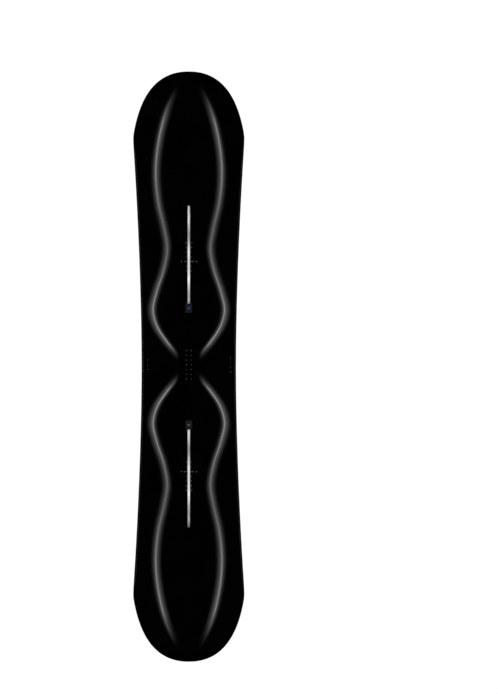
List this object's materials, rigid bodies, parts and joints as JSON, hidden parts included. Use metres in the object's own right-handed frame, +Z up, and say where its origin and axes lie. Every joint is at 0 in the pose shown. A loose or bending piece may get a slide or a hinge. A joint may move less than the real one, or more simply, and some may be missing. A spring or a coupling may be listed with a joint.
{
  "type": "snowboard",
  "caption": "Twin-tip snowboard with a sculpted black deck, pale base, steel edges, and a slotted metal binding channel with a lift-out plug at each foot.",
  "frame": {"origin": "middle of the board, at the height of the flat running base", "axes": "+Y towards the nose, +Z up out of the deck, +X to the right of somebody looking down at the deck with the nose away from them"},
  "size_m": [0.2978, 1.58, 0.0475],
  "materials": {
    "base_sheet": "waxed sintered polyethylene",
    "steel_edge_left": "ground steel",
    "steel_edge_right": "ground steel",
    "steel_edge_nose": "ground steel",
    "steel_edge_tail": "ground steel",
    "edge_damping_strip_left": "thin rubber strip",
    "edge_damping_strip_right": "thin rubber strip",
    "edge_damping_strip_nose": "thin rubber strip",
    "edge_damping_strip_tail": "thin rubber strip",
    "lower_glass_laminate": "glass fibre in resin",
    "core_strip_left_1": "sanded, edge-glued",
    "core_strip_left_2": "sanded, edge-glued",
    "core_strip_left_3": "sanded, edge-glued",
    "core_strip_left_4": "sanded, edge-glued",
    "core_strip_right_1": "sanded, edge-glued",
    "core_strip_right_2": "sanded, edge-glued",
    "core_strip_right_3": "sanded, edge-glued",
    "core_strip_right_4": "sanded, edge-glued",
    "core_block_nose": "sanded, edge-glued",
    "core_block_middle": "sanded, edge-glued",
    "core_block_tail": "sanded, edge-glued",
    "sidewall_left": "milled ABS",
    "sidewall_right": "milled ABS",
    "tip_spacer_nose": "ABS",
    "tip_spacer_tail": "ABS",
    "upper_glass_laminate": "glass fibre in resin",
    "topsheet": "satin black",
    "channel_rail_front": "bright satin",
    "channel_rail_rear": "bright satin",
    "channel_plug_front": "smooth black",
    "channel_plug_rear": "smooth black"
  },
  "bodies": {
    "board": {"base_sheet": "base_sheet", "steel_edge_left": "steel_edge_left", "steel_edge_right": "steel_edge_right", "steel_edge_nose": "steel_edge_nose", "steel_edge_tail": "steel_edge_tail", "edge_damping_strip_left": "edge_damping_strip_left", "edge_damping_strip_right": "edge_damping_strip_right", "edge_damping_strip_nose": "edge_damping_strip_nose", "edge_damping_strip_tail": "edge_damping_strip_tail", "lower_glass_laminate": "lower_glass_laminate", "core_strip_left_1": "core_strip_left_1", "core_strip_left_2": "core_strip_left_2", "core_strip_left_3": "core_strip_left_3", "core_strip_left_4": "core_strip_left_4", "core_strip_right_1": "core_strip_right_1", "core_strip_right_2": "core_strip_right_2", "core_strip_right_3": "core_strip_right_3", "core_strip_right_4": "core_strip_right_4", "core_block_nose": "core_block_nose", "core_block_middle": "core_block_middle", "core_block_tail": "core_block_tail", "sidewall_left": "sidewall_left", "sidewall_right": "sidewall_right", "tip_spacer_nose": "tip_spacer_nose", "tip_spacer_tail": "tip_spacer_tail", "upper_glass_laminate": "upper_glass_laminate", "topsheet": "topsheet", "channel_rail_front": "channel_rail_front", "channel_rail_rear": "channel_rail_rear"},
    "plug_front": {"channel_plug_front": "channel_plug_front"},
    "plug_rear": {"channel_plug_rear": "channel_plug_rear"}
  },
  "joints": [
    {"name": "plug_front_lift", "type": "slide", "parent": "board", "child": "plug_front", "axis": [0, 0, 1], "range_m": [0, 0.03]},
    {"name": "plug_rear_lift", "type": "slide", "parent": "board", "child": "plug_rear", "axis": [0, 0, 1], "range_m": [0, 0.03]}
  ]
}
